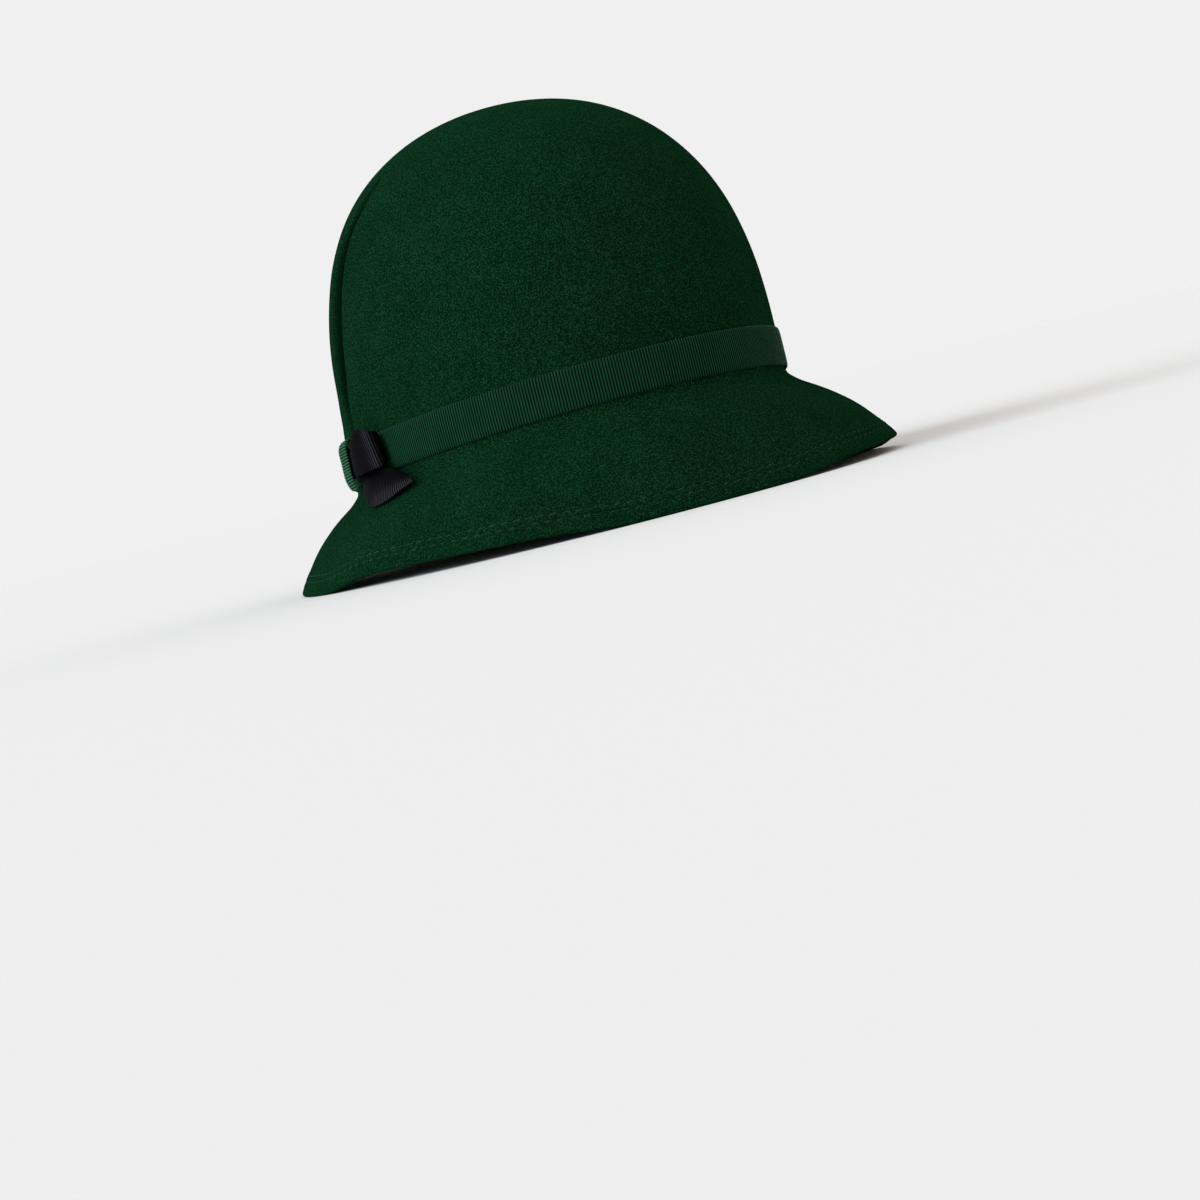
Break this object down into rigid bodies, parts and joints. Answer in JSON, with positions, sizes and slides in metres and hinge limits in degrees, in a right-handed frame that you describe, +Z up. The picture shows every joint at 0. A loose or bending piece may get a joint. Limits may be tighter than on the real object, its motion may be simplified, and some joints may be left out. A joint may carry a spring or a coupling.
{
  "type": "cloche hat",
  "caption": "Felt cloche hat with a round crown, a drooping brim with a turned and stitched hem, a grosgrain ribbon band and a small folded ribbon trim at one side.",
  "frame": {"origin": "middle of the hat's box, on the table that the brim rests on", "axes": "+Z up through the crown, +Y towards the back of the hat, +X towards the wearer's left"},
  "size_m": [0.235, 0.258, 0.1633],
  "materials": {
    "felt": "bottle green wool felt, matt with a short nap",
    "ribbon_green": "green grosgrain ribbon with fine cross ribs and a soft sheen",
    "ribbon_black": "black grosgrain ribbon with fine cross ribs and a soft sheen"
  },
  "bodies": {
    "root": {"felt_body": "felt", "ribbon_band": "ribbon_green", "bow_wrap": "ribbon_green", "bow_loop": "ribbon_black", "bow_tail": "ribbon_black"}
  },
  "joints": []
}
